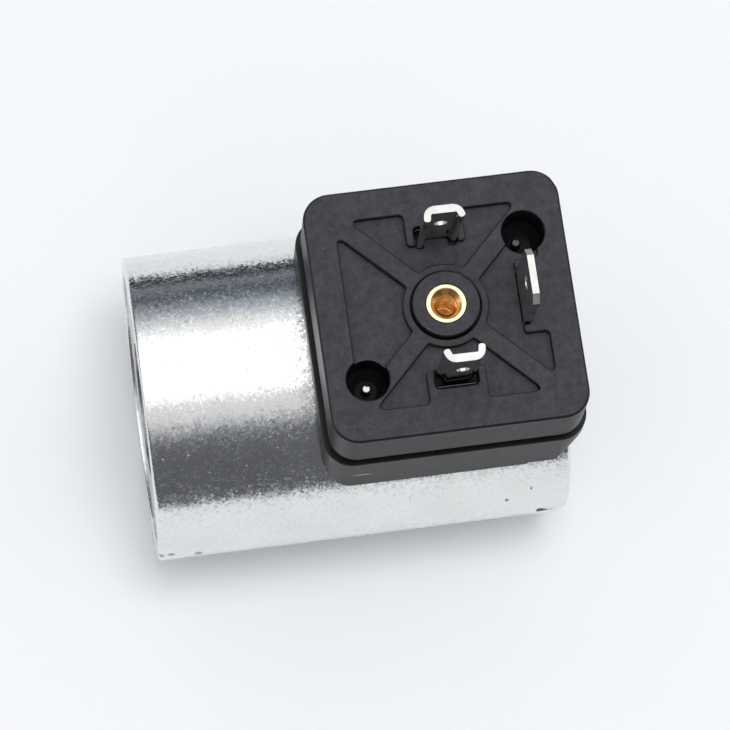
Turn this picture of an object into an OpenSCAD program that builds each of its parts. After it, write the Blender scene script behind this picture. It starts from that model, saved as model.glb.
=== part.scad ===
// Solenoid valve coil: a wound bobbin in a zinc plated steel tube, with a three blade plug face on top.
// X runs along the bore, Z points out of the plug face, and the origin is the middle of the bore.

/* [Housing tube] */
// Outer diameter of the steel tube
housing_d = 37; // [35:0.5:42]
// Length of the steel tube
housing_l = 49.8; // [47:0.1:60]
// Wall of the steel tube
housing_wall = 2; // [1.6:0.1:2.4]
// Chamfer on the outer edges of the tube
rim_chamfer = 0.5; // [0.2:0.1:0.8]
// Width of the open slot that the connector's neck slides into
slot_w = 16; // [15:0.5:18]
// Length of the open slot from the right end
slot_l = 26; // [24:0.5:28]
// Length of a stake mark along the tube
stake_l = 3.4; // [2:0.1:4]
// Width of a stake mark around the tube
stake_w = 2.4; // [1.5:0.1:4]
// Depth of a stake mark
stake_depth = 0.5; // [0.2:0.1:0.8]

/* [Pole rings and bore] */
// Diameter of the bore that slides over the valve's tube
bore_d = 16.2; // [14:0.1:18]
// Thickness of each steel pole ring
ring_t = 4; // [3:0.1:5]
// How far a pole ring sits below the tube's rim
ring_recess = 0.4; // [0.2:0.1:1]
// Chamfer at each mouth of the bore
bore_chamfer = 0.6; // [0.2:0.1:1]

/* [Bobbin and winding] */
// Wall of the bobbin's sleeve
bobbin_wall = 0.9; // [0.7:0.1:1.4]
// Thickness of a bobbin flange
flange_t = 1.2; // [0.8:0.1:2]
// Thickness of the tape around the winding
tape_t = 0.3; // [0.2:0.05:0.6]
// Thickness of the resin between the tape and the tube
potting_t = 1.6; // [1:0.1:2.2]

/* [Connector body] */
// Width of the square terminal plate
connector_w = 30; // [29:0.5:31]
// Radius of the terminal plate's upright corners
corner_r = 3.2; // [2.5:0.1:4]
// How far the terminal plate hangs over the tube's right end
overhang = 0.8; // [0:0.1:1.5]
// Height of the terminal plate
plate_t = 8.1; // [7.6:0.1:10]
// Outer wall of the hollow under the terminal plate
plate_wall = 2.2; // [1.8:0.1:2.6]
// Height of the hollow under the terminal plate
hollow_h = 4.6; // [4.4:0.1:4.8]
// Height of the seal between the terminal plate and the base
seal_h = 1.6; // [1:0.1:2]
// How far the seal lies inside the plate's outer walls
seal_inset = 0.7; // [0.3:0.1:1]
// Height of the base above the crown of the tube
base_h = 1.9; // [1.5:0.1:3]
// How far the base stands out past the plate on each side
base_extra = 0.2; // [0:0.1:0.5]

/* [Plug face] */
// Half width of the square that holds the shallow pockets
pocket_half = 11.4; // [11:0.1:11.8]
// Depth of the shallow pockets
pocket_depth = 0.8; // [0.4:0.1:1]
// Width of the diagonal ribs between the pockets
rib_w = 2.3; // [1.6:0.1:2.6]
// Radius of the ring around the middle boss
ring_r = 5; // [4.6:0.1:5.4]
// Radius of the middle boss
boss_r = 3.95; // [3.6:0.05:4.2]
// Height of the middle boss above the face
boss_h = 0.7; // [0.4:0.1:1]
// Width of the pad around a contact
pad_w = 6.9; // [6.6:0.1:7.4]
// Width of the pad around the earth blade
earth_pad_w = 8.9; // [8:0.1:9.4]
// Distance from the middle to the inner edge of a contact's pad
pad_in = 7.5; // [7.3:0.1:8]
// Distance from the middle to the inner edge of the earth blade's pad
earth_pad_in = 8.55; // [8.3:0.05:8.7]
// Diameter of the two blind corner holes
corner_hole_d = 5; // [4:0.1:5.4]
// Depth of the two blind corner holes
corner_hole_depth = 5.5; // [4.5:0.1:6]
// Distance of a corner hole from the middle along the tube
corner_hole_x = 10.15; // [9.8:0.05:10.4]
// Distance of a corner hole from the middle across the tube
corner_hole_y = 7.65; // [7.4:0.05:8]
// Wall around a corner hole inside the hollow
corner_hole_wall = 0.9; // [0.6:0.1:1.2]

/* [Contacts] */
// Spacing between the middle planes of the two contacts
contact_pitch = 17.5; // [17.2:0.1:18.4]
// Thickness of the blades
blade_t = 0.8; // [0.6:0.1:1]
// Height of a contact above the face
contact_h = 9.4; // [7:0.1:11]
// Straight width of a contact's web, and of its tail
web_w = 2.1; // [1.8:0.1:2.6]
// Bend radius of a contact at the middle of its thickness
bend_r = 0.9; // [0.8:0.05:1]
// Angle that a contact's straighter flange splays outward
splay_narrow = 8; // [0:1:15]
// Angle that a contact's more open flange splays outward
splay_wide = 32; // [20:1:40]
// Straight length of a contact's flange after the bend
flange_l = 0.6; // [0.4:0.1:1]
// Distance of the earth blade's middle plane from the centre of the face
earth_x = 9.35; // [9.1:0.05:9.5]
// Width of the earth blade
earth_w = 6.6; // [5.6:0.1:6.8]
// Height of the earth blade above the face
earth_h = 8.5; // [6:0.1:10]
// Chamfer on the earth blade's top corners
earth_chamfer = 1; // [0.5:0.1:1.5]
// Width of the earth blade's tail
earth_tail_w = 4.4; // [3.6:0.1:5]
// Diameter of the small hole in each blade
blade_hole_d = 1.7; // [1:0.1:2]
// Height of that hole above the face
blade_hole_z = 4.8; // [3:0.1:5]
// Depth of the wide slots around the blades
blade_slot_depth = 1.6; // [1.2:0.1:1.9]
// Room between a blade and its wide slot
blade_room = 0.25; // [0.2:0.05:0.4]
// Room between a contact's web and the outer wall of its wide slot
web_room = 0.7; // [0.6:0.05:0.9]
// Width of the tongue that fills a contact's channel up to the pocket floor
tongue_w = 2.5; // [2.2:0.1:2.6]
// Width of the stop at a contact's foot
stop_w = 4.4; // [4:0.1:4.8]
// How far that stop stands out from the web
stop_l = 0.5; // [0.3:0.05:0.55]
// Height of that stop
stop_h = 1.1; // [0.8:0.1:1.3]
// Room between the earth blade's inner face and its wide slot
earth_room = 0.1; // [0.05:0.01:0.2]

/* [Thread insert] */
// Outer diameter of the brass insert
insert_d = 4.7; // [4.2:0.1:5.2]
// Length of the brass insert
insert_l = 7; // [5:0.1:7.4]
// Diameter of the tapped hole at the thread's crests
insert_bore_d = 2.5; // [2:0.1:3]
// Diameter of the countersink at the mouth
insert_mouth_d = 3.7; // [3.2:0.1:4]
// Thickness of the closed end under the tapped hole
insert_end = 0.6; // [0.4:0.1:1]

/* [Wiring] */
// Diameter of a lead wire
lead_d = 0.9; // [0.6:0.1:1.1]
// Wall of the sleeve over a lead wire
sleeve_t = 0.3; // [0.2:0.05:0.4]
// Distance of the leads from the middle plane
lead_y = 6.4; // [6.2:0.1:6.6]
// Diameter of a solder joint
solder_d = 1.9; // [1.5:0.1:2.2]
// Length of a solder joint
solder_l = 0.8; // [0.4:0.1:0.9]
// Room between the end of a tail and the top of the base
tail_room = 2; // [1.6:0.1:2.4]
// Thickness of the earth strap
strap_t = 0.5; // [0.3:0.1:0.8]
// Width of the earth strap
strap_w = 3; // [2:0.1:3.6]
// Length of the earth strap's foot on the right pole ring
strap_foot = 3; // [2:0.1:3.4]

/* [Fits] */
// Seat gap left between pieces that are pressed, cast or laid together
seat_gap = 0.05; // [0.02:0.01:0.08]

/* [Hidden] */
$fn = 96;

cut = 1;
housing_r = housing_d / 2;
housing_ir = housing_r - housing_wall;
bore_r = bore_d / 2;
x_left = -housing_l / 2;
x_right = housing_l / 2;
x_left_in = x_left + ring_recess + ring_t;
x_right_in = x_right - ring_recess - ring_t;
ring_outer_r = housing_ir - seat_gap;

bobbin_r = bore_r + bobbin_wall;
potting_r = housing_ir - seat_gap;
bobbin_flange_r = potting_r - potting_t;
winding_r = bobbin_flange_r - tape_t - seat_gap;
bobbin_x0 = x_left_in + seat_gap;
bobbin_x1 = x_right_in - seat_gap;
winding_x0 = bobbin_x0 + flange_t + seat_gap;
winding_x1 = bobbin_x1 - flange_t - seat_gap;

connector_x = x_right + overhang - connector_w / 2;
base_w = connector_w + 2 * base_extra;
base_z1 = housing_r + base_h;
saddle_r = housing_r + seat_gap;
base_z0 = sqrt(max(0, saddle_r * saddle_r - base_w * base_w / 4));
slot_x = x_right - slot_l;
seal_z0 = base_z1 + seat_gap;
plate_z0 = seal_z0 + seal_h + seat_gap;
face_z = plate_z0 + plate_t;
hollow_z1 = plate_z0 + hollow_h;
hollow_w = connector_w - 2 * plate_wall;
hollow_r = max(0.5, corner_r - plate_wall);
boss_z = face_z + boss_h;
blade_foot_z = face_z - blade_slot_depth + seat_gap;
tail_z = base_z1 + tail_room;

contact_web = contact_pitch / 2;
contact_in = contact_web - bend_r + (bend_r - blade_t / 2) * sin(splay_narrow) - flange_l * cos(splay_narrow);
joint_z = tail_z + solder_d / 2;
lead_r = lead_d / 2;
lead_z = sqrt(winding_r * winding_r - (lead_y - lead_r) * (lead_y - lead_r)) + seat_gap;
lead_end = contact_web - blade_t / 2 - seat_gap;
sleeve_r = lead_r + seat_gap + sleeve_t;
sleeve_z0 = sqrt(potting_r * potting_r - (lead_y - sleeve_r) * (lead_y - sleeve_r)) + seat_gap;
sleeve_z1 = joint_z - solder_d / 2 - seat_gap;
strap_x = connector_x + earth_x + blade_t / 2 + seat_gap;
strap_z = ring_outer_r + seat_gap;
insert_csk = (insert_mouth_d - insert_bore_d) / 2;

// A solid turned about the bore axis from radius and length pairs
module turned(points) rotate([0, 90, 0]) rotate_extrude() polygon(points);

// A plain ring about the bore axis
module ring(r0, r1, x0, x1) turned([[r0, x0], [r1, x0], [r1, x1], [r0, x1]]);

// A square with round corners
module rounded_square(w, r) {
    square([w, w - 2 * r], center = true);
    square([w - 2 * r, w], center = true);
    for (sx = [-1, 1], sy = [-1, 1])
        translate([sx * (w / 2 - r), sy * (w / 2 - r)]) circle(r);
}

// An upright block with round corners under the connector's centre line
module rounded_block(w, r, z0, z1)
    translate([connector_x, 0, z0]) linear_extrude(z1 - z0) rounded_square(w, r);

// Moves a shape drawn around the middle of the plug face to its place
module on_face(z) translate([connector_x, 0, z]) children();

// The two corner holes lie at opposite corners
module at_corner_holes() for (s = [-1, 1]) translate([s * corner_hole_x, s * corner_hole_y]) children();

// Points of an arc
function arc(cx, cy, r, a0, a1, n = 10) =
    [for (i = [0 : n]) let (a = a0 + (a1 - a0) * i / n) [cx + r * cos(a), cy + r * sin(a)]];
function backwards(list) = [for (i = [len(list) - 1 : -1 : 0]) list[i]];
function mirrored(list) = [for (p = list) [p.x, -p.y]];

// How far a flange of the given splay reaches from the middle of a contact
function contact_reach(splay) = web_w / 2 + (bend_r + blade_t / 2) * cos(splay) + flange_l * sin(splay);

// One side of a contact's half section, as an offset from the middle of its thickness
function contact_side(offset, splay) =
    let (
        turn = 90 - splay,
        bend = arc(contact_web - bend_r, web_w / 2, bend_r + offset, 0, turn),
        tip = bend[len(bend) - 1]
    )
    concat(bend, [[tip.x - flange_l * sin(turn), tip.y + flange_l * cos(turn)]]);

// Section of a contact: a web with a straighter and a more open flange, both turned to the middle
module contact_section() {
    narrow_outer = contact_side(blade_t / 2, splay_narrow);
    narrow_inner = contact_side(-blade_t / 2, splay_narrow);
    wide_outer = mirrored(contact_side(blade_t / 2, splay_wide));
    wide_inner = mirrored(contact_side(-blade_t / 2, splay_wide));
    polygon(concat(narrow_outer, backwards(narrow_inner), wide_inner, backwards(wide_outer)));
}

// A contact drawn on the +X side of the face, with its tail down into the hollow
module contact_blade() {
    difference() {
        union() {
            translate([0, 0, blade_foot_z]) linear_extrude(face_z + contact_h - blade_foot_z) contact_section();
            translate([contact_web - blade_t / 2, -web_w / 2, tail_z])
                cube([blade_t, web_w, blade_foot_z - tail_z + cut]);
            translate([contact_web, -stop_w / 2, blade_foot_z]) cube([blade_t / 2 + stop_l, stop_w, stop_h]);
        }
        translate([contact_web - blade_t, 0, face_z + blade_hole_z]) rotate([0, 90, 0])
            cylinder(h = 2 * blade_t, d = blade_hole_d);
    }
}

// Turns a shape drawn on the +X side of the face to the contact on the side of the given sign
module at_contact(side) translate([connector_x, 0, 0]) rotate([0, 0, 90 * side]) children();

// Room for a contact in the plate: a wide slot around a tongue, and a narrow one for the contact's tail
module contact_slot() {
    wide = contact_reach(splay_wide) + blade_room;
    narrow = contact_reach(splay_narrow) + blade_room;
    inner = contact_in - blade_room;
    outer = contact_web + blade_t / 2 + web_room;
    tongue = contact_web - blade_t / 2 - blade_room;
    difference() {
        translate([inner, -wide, face_z - blade_slot_depth])
            cube([outer - inner, wide + narrow, blade_slot_depth + cut]);
        translate([inner - cut, -tongue_w / 2, face_z - blade_slot_depth - cut])
            cube([tongue - inner + cut, tongue_w, blade_slot_depth + cut - pocket_depth]);
    }
    translate([contact_web - blade_t / 2 - seat_gap, -web_w / 2 - seat_gap, plate_z0])
        cube([blade_t + 2 * seat_gap, web_w + 2 * seat_gap, plate_t]);
}

// Room for the earth blade in the plate, open to the pocket on its inner side
module earth_slot() {
    room_w = earth_w + 2 * blade_room;
    translate([earth_x - blade_t / 2 - earth_room, -room_w / 2, face_z - blade_slot_depth])
        cube([blade_t + earth_room + blade_room, room_w, blade_slot_depth + cut]);
    translate([earth_pad_in - seat_gap, -room_w / 2, face_z - pocket_depth])
        cube([earth_x - earth_pad_in, room_w, pocket_depth + cut]);
    translate([earth_x - blade_t / 2 - seat_gap, -earth_tail_w / 2 - seat_gap, plate_z0])
        cube([blade_t + 2 * seat_gap, earth_tail_w + 2 * seat_gap, plate_t]);
}

// One shallow pocket on the +X side, between two ribs, the ring and a pad
module pocket(pad_from, pad_width) {
    rib_start = rib_w / sqrt(2);
    reach = 2 * pocket_half;
    difference() {
        intersection() {
            square(2 * pocket_half, center = true);
            polygon([[rib_start, 0], [rib_start + reach, reach], [rib_start + reach, -reach]]);
        }
        circle(ring_r);
        translate([pad_from, -pad_width / 2]) square([reach, pad_width]);
    }
}

// The four pockets: one behind each blade, and one with no pad
module pockets() {
    pocket(earth_pad_in, earth_pad_w);
    for (a = [90, 270]) rotate(a) pocket(pad_in, pad_w);
    rotate(180) pocket(pocket_half + cut, pad_w);
}

// Zinc plated tube that carries the magnetic flux, slotted for the connector and staked at the right end
module housing_tube() color("silver") difference() {
    turned([
        [housing_ir, x_left], [housing_r - rim_chamfer, x_left], [housing_r, x_left + rim_chamfer],
        [housing_r, x_right - rim_chamfer], [housing_r - rim_chamfer, x_right], [housing_ir, x_right]
    ]);
    translate([slot_x, -slot_w / 2, 0]) cube([slot_l + cut, slot_w, housing_r + cut]);
    for (a = [90, 180, 270]) rotate([a, 0, 0])
        translate([x_right - stake_l, -stake_w / 2, housing_r - stake_depth])
            cube([stake_l + cut, stake_w, stake_depth + cut]);
}

// Steel ring that closes an end of the tube, drawn for the right end
module pole_ring() turned([
    [bore_r, x_right_in], [ring_outer_r, x_right_in], [ring_outer_r, x_right - ring_recess],
    [bore_r + bore_chamfer, x_right - ring_recess], [bore_r, x_right - ring_recess - bore_chamfer]
]);

module left_pole_ring() color("gainsboro") mirror([1, 0, 0]) pole_ring();

module right_pole_ring() color("gainsboro") pole_ring();

// Moulded spool that the wire is wound on
module bobbin() color("dimgray") turned([
    [bore_r, bobbin_x0], [bobbin_flange_r, bobbin_x0], [bobbin_flange_r, bobbin_x0 + flange_t],
    [bobbin_r, bobbin_x0 + flange_t], [bobbin_r, bobbin_x1 - flange_t],
    [bobbin_flange_r, bobbin_x1 - flange_t], [bobbin_flange_r, bobbin_x1], [bore_r, bobbin_x1]
]);

// Enamelled copper wire, as one closed ring
module winding() color("chocolate") ring(bobbin_r + seat_gap, winding_r, winding_x0, winding_x1);

// Upright holes for the two leads
module lead_holes(r) for (s = [-1, 1])
    translate([connector_x, s * lead_y, 0]) cylinder(h = face_z, r = r);

module winding_tape() color("gold") difference() {
    ring(winding_r + seat_gap, bobbin_flange_r, winding_x0, winding_x1);
    lead_holes(lead_r + seat_gap);
}

// Cast resin between the wound bobbin and the tube
module potting() color("darkslategray") difference() {
    ring(bobbin_flange_r + seat_gap, potting_r, bobbin_x0, bobbin_x1);
    lead_holes(lead_r + seat_gap);
}

// Moulded base: a saddle on the tube with a neck that fills the tube's slot
module connector_base() color("dimgray") difference() {
    union() {
        difference() {
            rounded_block(base_w, corner_r + base_extra, base_z0 - cut, base_z1);
            ring(0, saddle_r, x_left, x_right + connector_w);
        }
        difference() {
            translate([slot_x + seat_gap, -slot_w / 2 + seat_gap, 0])
                cube([slot_l - seat_gap, slot_w - 2 * seat_gap, base_z1]);
            ring(0, housing_ir, x_left, x_right + connector_w);
        }
    }
    lead_holes(sleeve_r + seat_gap);
    translate([strap_x - seat_gap, -strap_w / 2 - seat_gap, 0])
        cube([strap_foot + 2 * seat_gap, strap_w + 2 * seat_gap, face_z]);
}

// Rubber frame that fills the groove between the base and the terminal plate
module plate_seal() color("black") difference() {
    rounded_block(connector_w - 2 * seal_inset, corner_r - seal_inset, seal_z0, seal_z0 + seal_h);
    rounded_block(hollow_w, hollow_r, seal_z0 - cut, seal_z0 + seal_h + cut);
}

// Moulded plate that holds the blades and the insert, hollow underneath for the wiring
module terminal_plate() color([0.2, 0.2, 0.21]) difference() {
    union() {
        difference() {
            rounded_block(connector_w, corner_r, plate_z0, face_z);
            rounded_block(hollow_w, hollow_r, plate_z0 - cut, hollow_z1);
        }
        on_face(plate_z0) cylinder(h = boss_z - plate_z0, r = boss_r);
        on_face(face_z - corner_hole_depth - corner_hole_wall)
            linear_extrude(corner_hole_depth + corner_hole_wall - pocket_depth)
                at_corner_holes() circle(d = corner_hole_d + 2 * corner_hole_wall);
    }
    on_face(boss_z - insert_l - seat_gap) cylinder(h = insert_l + cut, d = insert_d + 2 * seat_gap);
    on_face(face_z - corner_hole_depth)
        linear_extrude(corner_hole_depth + cut) at_corner_holes() circle(d = corner_hole_d);
    on_face(face_z - pocket_depth) linear_extrude(pocket_depth + cut) pockets();
    for (s = [-1, 1]) at_contact(s) contact_slot();
    translate([connector_x, 0, 0]) earth_slot();
}

// Brass insert with a countersunk mouth and a closed end, for the plug's middle screw
module thread_insert() color("goldenrod") on_face(boss_z - insert_l) rotate_extrude() polygon([
    [0, 0], [insert_d / 2, 0], [insert_d / 2, insert_l], [insert_mouth_d / 2, insert_l],
    [insert_bore_d / 2, insert_l - insert_csk], [insert_bore_d / 2, insert_end], [0, insert_end]
]);

module contact_1() color("whitesmoke") at_contact(1) contact_blade();

module contact_2() color("whitesmoke") at_contact(-1) contact_blade();

// Flat earth blade with chamfered top corners
module earth_contact() color("whitesmoke") translate([connector_x + earth_x - blade_t / 2, 0, 0]) difference() {
    half = earth_w / 2;
    tail = earth_tail_w / 2;
    top = face_z + earth_h;
    rotate([90, 0, 90]) linear_extrude(blade_t) polygon([
        [-tail, tail_z], [tail, tail_z], [tail, blade_foot_z], [half, blade_foot_z],
        [half, top - earth_chamfer], [half - earth_chamfer, top], [earth_chamfer - half, top],
        [-half, top - earth_chamfer], [-half, blade_foot_z], [-tail, blade_foot_z]
    ]);
    translate([-blade_t / 2, 0, face_z + blade_hole_z]) rotate([0, 90, 0])
        cylinder(h = 2 * blade_t, d = blade_hole_d);
}

// Brass strip from the earth blade's tail to a foot on the right pole ring
module earth_strap() color("khaki") translate([strap_x, -strap_w / 2, strap_z]) {
    cube([strap_t, strap_w, hollow_z1 - seat_gap - strap_z]);
    cube([strap_foot, strap_w, strap_t]);
}

// Lead wire up from the winding and across to a contact's tail
module lead(side) translate([connector_x, side * lead_y, 0]) {
    translate([0, 0, lead_z]) cylinder(h = joint_z - lead_z, r = lead_r);
    translate([0, 0, joint_z]) sphere(lead_r);
    translate([0, 0, joint_z]) rotate([-90 * side, 0, 0]) cylinder(h = lead_end - lead_y, r = lead_r);
}

module lead_1() color("peru") lead(1);

module lead_2() color("peru") lead(-1);

// Insulating sleeve over a lead where it passes through the base
module lead_sleeve(side) translate([connector_x, side * lead_y, sleeve_z0]) difference() {
    cylinder(h = sleeve_z1 - sleeve_z0, r = sleeve_r);
    translate([0, 0, -cut]) cylinder(h = sleeve_z1 - sleeve_z0 + 2 * cut, r = lead_r + seat_gap);
}

module lead_sleeve_1() color("red") lead_sleeve(1);

module lead_sleeve_2() color("black") lead_sleeve(-1);

// Solder around the end of a lead, on the inner face of a contact's tail
module solder_joint(side) translate([connector_x, side * lead_end, joint_z]) rotate([90 * side, 0, 0]) difference() {
    cylinder(h = solder_l, d = solder_d);
    translate([0, 0, -cut]) cylinder(h = solder_l + 2 * cut, r = lead_r + seat_gap);
}

module solder_joint_1() color("lightgray") solder_joint(1);

module solder_joint_2() color("lightgray") solder_joint(-1);

housing_tube();
left_pole_ring();
right_pole_ring();
bobbin();
winding();
winding_tape();
potting();
connector_base();
plate_seal();
terminal_plate();
thread_insert();
contact_1();
contact_2();
earth_contact();
earth_strap();
lead_1();
lead_2();
lead_sleeve_1();
lead_sleeve_2();
solder_joint_1();
solder_joint_2();
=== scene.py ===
# %% [markdown]
# # Dressing a solenoid valve coil
#
# A solenoid coil is an electromagnet that slips over the tube of a valve. A bobbin of copper wire sits in
# a zinc plated steel tube, and a black moulding on top carries three blades that a square plug is pushed
# onto. The construction is finished and arrives as a fixed frame, in metres. Here each visible piece is
# modelled again with the soft edges, threads and bends that the eye expects, and every surface gets its
# finish.

# %% Load the frame
import math

import bmesh
import bpy
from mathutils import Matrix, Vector


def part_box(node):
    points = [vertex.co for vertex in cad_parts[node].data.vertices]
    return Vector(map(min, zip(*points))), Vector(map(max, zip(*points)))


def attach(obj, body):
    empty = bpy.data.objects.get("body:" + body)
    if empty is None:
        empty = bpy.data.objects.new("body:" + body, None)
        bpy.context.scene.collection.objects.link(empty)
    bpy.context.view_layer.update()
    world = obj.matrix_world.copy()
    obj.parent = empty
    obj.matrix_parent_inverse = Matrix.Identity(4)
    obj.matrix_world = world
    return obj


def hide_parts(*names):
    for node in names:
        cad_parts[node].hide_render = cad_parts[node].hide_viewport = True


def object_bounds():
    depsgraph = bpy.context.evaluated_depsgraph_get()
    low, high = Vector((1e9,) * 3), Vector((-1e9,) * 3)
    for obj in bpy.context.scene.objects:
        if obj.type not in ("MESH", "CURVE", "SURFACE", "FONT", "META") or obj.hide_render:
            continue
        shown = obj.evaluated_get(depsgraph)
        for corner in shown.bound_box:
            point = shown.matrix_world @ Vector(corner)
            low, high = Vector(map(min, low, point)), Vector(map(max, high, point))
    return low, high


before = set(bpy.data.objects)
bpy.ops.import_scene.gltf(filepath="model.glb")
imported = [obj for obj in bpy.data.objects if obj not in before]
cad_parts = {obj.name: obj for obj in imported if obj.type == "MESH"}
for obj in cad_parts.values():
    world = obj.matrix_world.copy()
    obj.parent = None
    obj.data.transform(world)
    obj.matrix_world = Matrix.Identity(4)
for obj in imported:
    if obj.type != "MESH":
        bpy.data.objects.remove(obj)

MM = 0.001
cad_low, cad_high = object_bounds()
cad_size = [round(side / MM, 1) for side in cad_high - cad_low]
print("frame:", len(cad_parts), "nodes, size in mm", cad_size)

# %% [markdown]
# ## Camera
#
# The picture looks down on the plug face from the front left, with a long lens, so upright walls hardly
# converge. The place and the turn of the camera were found by matching the edges of the square plate and
# the outline of the tube, so they are written as they came out: a place in millimetres and three angles.

# %% Camera
CAMERA_PLACE_MM = (-39.88, -129.84, 496.44)
CAMERA_TURN_DEG = (15.374, -2.776, -8.033)
LENS_MM = 208.4
SENSOR_MM = 36
CLIP_START = 0.01

camera_data = bpy.data.cameras.new("camera")
camera_data.lens = LENS_MM
camera_data.sensor_width = SENSOR_MM
camera_data.clip_start = CLIP_START
camera = bpy.data.objects.new("camera", camera_data)
camera.location = Vector(CAMERA_PLACE_MM) * MM
camera.rotation_euler = [math.radians(angle) for angle in CAMERA_TURN_DEG]
bpy.context.scene.collection.objects.link(camera)
bpy.context.scene.camera = camera
print("camera at", [round(value, 3) for value in camera.location], "with a lens of", LENS_MM, "mm")

# %% [markdown]
# ## Floor
#
# The coil lies on a sheet of white card, so the floor is a plain pale plane that touches the tube's
# lowest line. A small node helper comes first. It adds a node, sets its options and feeds its inputs,
# because every finish below is a short chain of such nodes. Coordinates always come from the object, so a
# pattern stays where it is when the camera moves.

# %% Node helper
def add_node(tree, kind, inputs=None, **options):
    """Adds a shader node, sets its options, and feeds its inputs with values or other nodes' outputs."""
    made = tree.nodes.new("ShaderNode" + kind)
    for name, value in options.items():
        setattr(made, name, value)
    for name, value in (inputs or {}).items():
        if isinstance(value, bpy.types.NodeSocket):
            tree.links.new(value, made.inputs[name])
        else:
            made.inputs[name].default_value = value
    return made


def new_finish(name):
    """A material with an empty principled shader, and its Object coordinates."""
    material = bpy.data.materials.new(name)
    material.use_nodes = True
    tree = material.node_tree
    shader = tree.nodes["Principled BSDF"]
    coordinates = add_node(tree, "TexCoord").outputs["Object"]
    return material, tree, shader, coordinates


def noise(tree, coordinates, grain, detail=2.0, roughness=0.5):
    """Soft noise whose blotches are about one grain across, given in millimetres."""
    settings = {"Vector": coordinates, "Scale": 1 / (grain * MM), "Detail": detail, "Roughness": roughness}
    return add_node(tree, "TexNoise", settings).outputs["Fac"]


def spread(tree, value, low, high, start=0.3, end=0.7):
    """Maps a noise, which seldom leaves 0.3 to 0.7, onto the range from low to high."""
    settings = {"Value": value, "From Min": start, "From Max": end, "To Min": low, "To Max": high}
    return add_node(tree, "MapRange", settings).outputs["Result"]


def shades(tree, value, dark, light, start=0.3, end=0.7):
    """Maps a noise onto colours between a dark and a light one."""
    ramp = add_node(tree, "ValToRGB", {"Fac": value})
    ramp.color_ramp.elements[0].position = start
    ramp.color_ramp.elements[0].color = (*dark, 1)
    ramp.color_ramp.elements[1].position = end
    ramp.color_ramp.elements[1].color = (*light, 1)
    return ramp.outputs["Color"]


def blend(tree, mask, under, over):
    """Lays one colour over another where a mask is 1."""
    return add_node(tree, "Mix", {0: mask, 6: under, 7: over}, data_type="RGBA").outputs[2]


print("helpers ready")

# %% White card floor
FLOOR_SIZE = 8.0
FLOOR_WHITE = ((0.885, 0.9, 0.915), (0.9, 0.915, 0.93))
FLOOR_CLOUD = 40
FLOOR_ROUGH = 0.7
FLOOR_GLOSS = 0.2

bpy.ops.object.select_all(action="DESELECT")
bpy.ops.mesh.primitive_plane_add(size=FLOOR_SIZE, location=(0, 0, cad_low.z))
floor = bpy.context.object
floor.name = "floor"
card, tree, shader, coordinates = new_finish("white_card")
floor_shade = shades(tree, noise(tree, coordinates, FLOOR_CLOUD), *FLOOR_WHITE)
tree.links.new(floor_shade, shader.inputs["Base Color"])
shader.inputs["Roughness"].default_value = FLOOR_ROUGH
shader.inputs["Specular IOR Level"].default_value = FLOOR_GLOSS
floor.data.materials.append(card)
print("floor at", round(cad_low.z / MM, 2), "mm")

# %% [markdown]
# ## Light
#
# Bright metal shows its surroundings more than itself, so the light is planned by what the tube reflects.
# Seen from above, its crown mirrors a wide softbox overhead, its flanks mirror the white floor, and in
# between lie two dark bands, which are the unlit room. A plain bright world would wash those bands out.
# So the two jobs of a studio light are kept apart here. A softbox and some cards are there for
# reflections only, and an even fill with a key light nearly overhead lights the matt surfaces and makes
# the shadow. The tube's underside curves away from the floor, so with a small key light the shadow is
# dark along the tube's edge and soon fades. In Cycles a ray that meets an area light goes on to the world
# behind it, so the softbox only adds what the backdrop lacks.

# %% Softbox for reflections
SOFTBOX_HEIGHT = 0.9
SOFTBOX_FRONT_DEG = 11
SOFTBOX_BACK_DEG = 38
SOFTBOX_WIDTH = 5
SOFTBOX_SHIFT = 0.2
SOFTBOX_RADIANCE = 0.7

softbox_front = -SOFTBOX_HEIGHT * math.tan(math.radians(SOFTBOX_FRONT_DEG))
softbox_back = SOFTBOX_HEIGHT * math.tan(math.radians(SOFTBOX_BACK_DEG))
softbox_data = bpy.data.lights.new("softbox", "AREA")
softbox_data.shape = "RECTANGLE"
softbox_data.size = SOFTBOX_WIDTH
softbox_data.size_y = softbox_back - softbox_front
softbox_data.energy = SOFTBOX_RADIANCE * math.pi * softbox_data.size * softbox_data.size_y
softbox = bpy.data.objects.new("softbox", softbox_data)
softbox.location = (SOFTBOX_SHIFT, (softbox_front + softbox_back) / 2, SOFTBOX_HEIGHT)
softbox.visible_camera = False
softbox.visible_diffuse = False
bpy.context.scene.collection.objects.link(softbox)
print("softbox", round(softbox_data.size, 2), "by", round(softbox_data.size_y, 2), "m,",
      round(softbox_data.energy, 1), "W")

# %% Key light for matt surfaces
KEY_PLACE = Vector((0.12, -0.07, 1.5))
KEY_SIZE = 0.56
KEY_LEVEL = 0.43

key_data = bpy.data.lights.new("key", "AREA")
key_data.size = KEY_SIZE
key_data.energy = KEY_LEVEL * math.pi ** 2 * KEY_PLACE.length ** 3 / KEY_PLACE.z
key = bpy.data.objects.new("key", key_data)
key.location = KEY_PLACE
key.rotation_euler = KEY_PLACE.to_track_quat("Z", "Y").to_euler()
key.visible_camera = False
key.visible_glossy = False
bpy.context.scene.collection.objects.link(key)
print("key light", round(key_data.energy, 1), "W")

# %% Pale world
BACKDROP = (0.9, 0.92, 0.95, 1)
FILL = (0.66, 0.664, 0.672, 1)

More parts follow.
